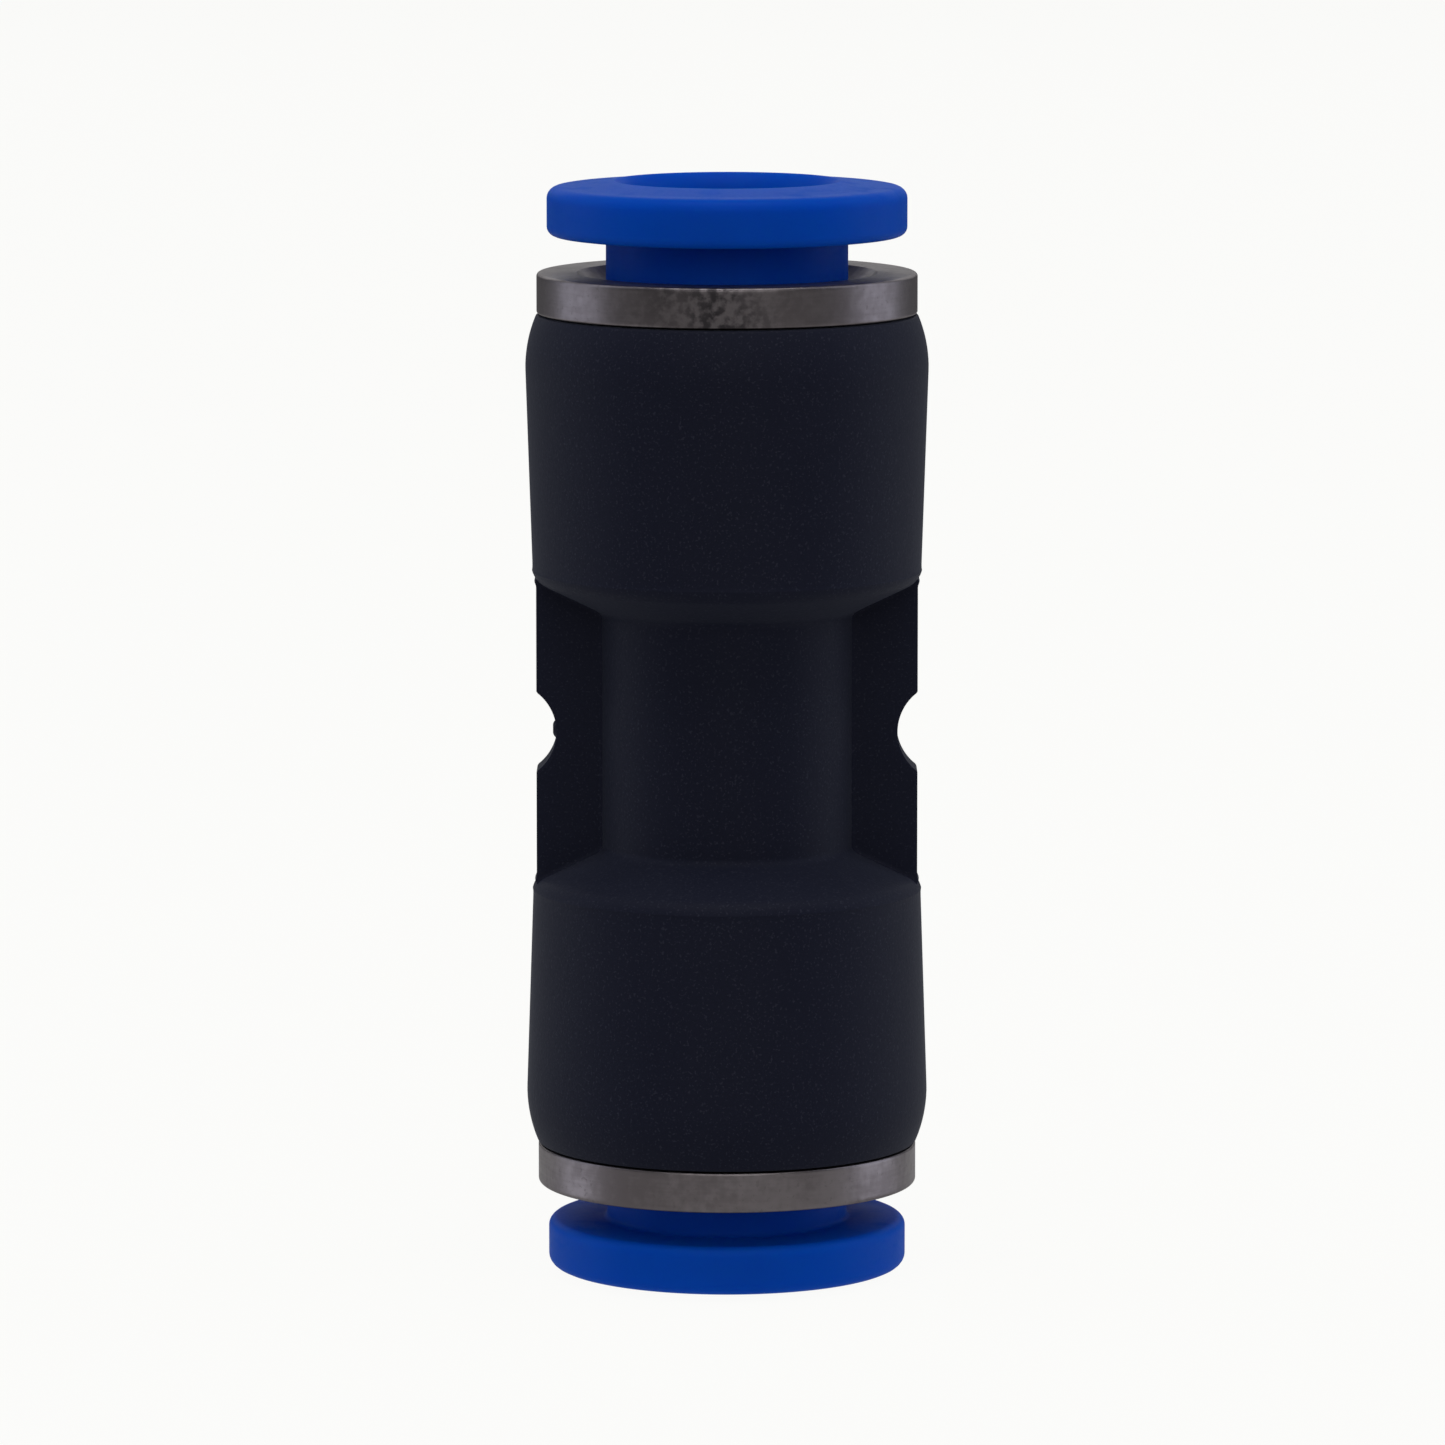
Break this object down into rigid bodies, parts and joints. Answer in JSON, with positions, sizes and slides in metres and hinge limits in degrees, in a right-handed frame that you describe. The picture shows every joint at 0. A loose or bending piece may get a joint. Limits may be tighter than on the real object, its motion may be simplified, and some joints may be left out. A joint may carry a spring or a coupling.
{
  "type": "push fit coupling",
  "caption": "Straight push-fit coupling for 6 mm air tube: waisted black body with notched web, plated guide rings and sliding blue release sleeves at both ends.",
  "frame": {"origin": "centre of the moulded body, on the tube axis, half way between the two tube stops", "axes": "+Z along the tube axis towards the upper mouth, +X from the axis to one fixing notch, +Y square to the web's back face"},
  "size_m": [0.0126, 0.0126, 0.0342],
  "materials": {
    "body_plastic": "black glass-filled PBT moulding, fine matt grain",
    "sleeve_plastic": "blue acetal moulding, soft gloss",
    "plated_brass": "turned brass with nickel plate, lightly mottled",
    "spring_steel": "pressed stainless spring strip",
    "backing_plastic": "natural acetal moulding",
    "seal_rubber": "black nitrile rubber, greased"
  },
  "bodies": {
    "housing": {"coupling_body": "body_plastic", "upper_guide_ring": "plated_brass", "lower_guide_ring": "plated_brass", "upper_grip_ring": "spring_steel", "lower_grip_ring": "spring_steel", "upper_backing_ring": "backing_plastic", "lower_backing_ring": "backing_plastic", "upper_lip_seal": "seal_rubber", "lower_lip_seal": "seal_rubber"},
    "upper_sleeve": {"upper_release_sleeve": "sleeve_plastic"},
    "lower_sleeve": {"lower_release_sleeve": "sleeve_plastic"}
  },
  "joints": [
    {"name": "upper_sleeve_press", "type": "slide", "parent": "housing", "child": "upper_sleeve", "axis": [0, 0, -1], "range_m": [0, 0.0011], "stiffness_N_per_m": 1000, "deforming": ["upper_grip_ring"]},
    {"name": "lower_sleeve_press", "type": "slide", "parent": "housing", "child": "lower_sleeve", "axis": [0, 0, 1], "range_m": [0, 0.0011], "stiffness_N_per_m": 1000, "deforming": ["lower_grip_ring"]}
  ]
}
